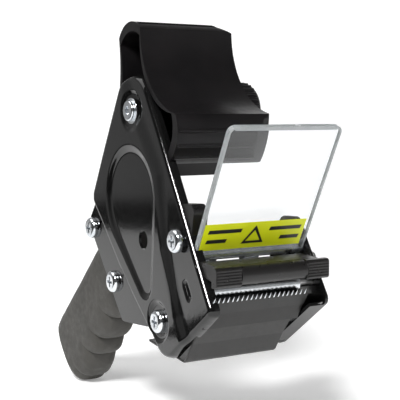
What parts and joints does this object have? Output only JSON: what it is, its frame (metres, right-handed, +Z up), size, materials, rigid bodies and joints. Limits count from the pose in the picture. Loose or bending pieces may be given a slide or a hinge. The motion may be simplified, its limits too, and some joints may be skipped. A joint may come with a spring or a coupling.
{
  "type": "tape dispenser",
  "caption": "Hand-held pistol-grip packing tape dispenser with a lobed tape hub, brake knob, clear shield, spring bar, rollers and a toothed blade.",
  "frame": {"origin": "on the hub axle, mid-way along the tape hub", "axes": "+X along the hub axle towards the tension knob, -Y towards the nose, +Z up"},
  "size_m": [0.062, 0.172, 0.1724],
  "materials": {
    "plate_paint": "gloss black enamel on pressed steel",
    "hub_plastic": "satin moulded black",
    "grip_plastic": "fine grained black",
    "nose_paint": "satin black",
    "guard_plastic": "semi-gloss moulded black",
    "zinc": "bright zinc plate",
    "steel": "drawn steel",
    "blade_steel": "hardened, dark",
    "clear": "clear polycarbonate",
    "label": "yellow film, matt",
    "brass": "turned",
    "rubber": "matt black rubber",
    "natural_plastic": "natural acetal"
  },
  "bodies": {
    "frame": {"side_plate": "plate_paint", "right_side_plate": "plate_paint", "upper_cross_rod": "steel", "lower_cross_rod": "steel", "hub_screw": "zinc", "hub_screw_washer": "zinc", "front_rod_screw": "zinc", "bottom_rod_screw": "zinc", "far_rod_screws": "zinc", "handle_screws": "zinc", "handle_grip": "grip_plastic", "handle_tang": "guard_plastic", "hub_axle": "steel", "friction_washer": "natural_plastic", "spring_washer": "zinc", "brake_spring": "steel", "knob_thrust_washer": "zinc", "guide_cheek": "guard_plastic", "front_roller_axle": "steel", "guide_roller_axle": "steel", "blade": "blade_steel", "press_plate": "nose_paint", "guard_pin": "steel", "guard_spring": "steel", "shield_pin": "steel", "shield_spring": "steel"},
    "hub": {"hub": "hub_plastic", "hub_bush": "natural_plastic"},
    "knob": {"tension_knob": "hub_plastic", "knob_nut": "brass"},
    "front_roller": {"front_roller": "zinc"},
    "guide_roller": {"guide_roller": "rubber", "guide_roller_sleeve": "natural_plastic"},
    "guard": {"guard_bar": "guard_plastic", "guard_grips": "guard_plastic"},
    "shield": {"clear_shield": "clear", "shield_label": "label", "shield_clamp": "zinc"},
    "smoother": {"smoothing_plate": "nose_paint"}
  },
  "joints": [
    {"name": "hub_spin", "type": "hinge", "parent": "frame", "child": "hub", "pos_m": [0, 0, 0], "axis": [1, 0, 0], "continuous": true},
    {"name": "knob_turn", "type": "hinge", "parent": "frame", "child": "knob", "pos_m": [0, 0, 0], "axis": [1, 0, 0], "range_deg": [-270, 270]},
    {"name": "front_roller_spin", "type": "hinge", "parent": "frame", "child": "front_roller", "pos_m": [0, -0.054, -0.069], "axis": [1, 0, 0], "continuous": true},
    {"name": "guide_roller_spin", "type": "hinge", "parent": "frame", "child": "guide_roller", "pos_m": [0, -0.041, -0.067], "axis": [1, 0, 0], "continuous": true},
    {"name": "guard_swing", "type": "hinge", "parent": "frame", "child": "guard", "pos_m": [0, -0.0522, -0.0599], "axis": [1, 0, 0], "range_deg": [-25, 0], "stiffness_Nm_per_rad": 0.12, "springref_deg": 11.46},
    {"name": "shield_tilt", "type": "hinge", "parent": "frame", "child": "shield", "pos_m": [0, -0.0466, -0.0566], "axis": [1, 0, 0], "range_deg": [-8, 20]},
    {"name": "smoother_flex", "type": "hinge", "parent": "frame", "child": "smoother", "pos_m": [0, -0.05331, -0.08221], "axis": [1, 0, 0], "range_deg": [0, 6], "stiffness_Nm_per_rad": 0.5, "springref_deg": -2.86}
  ]
}
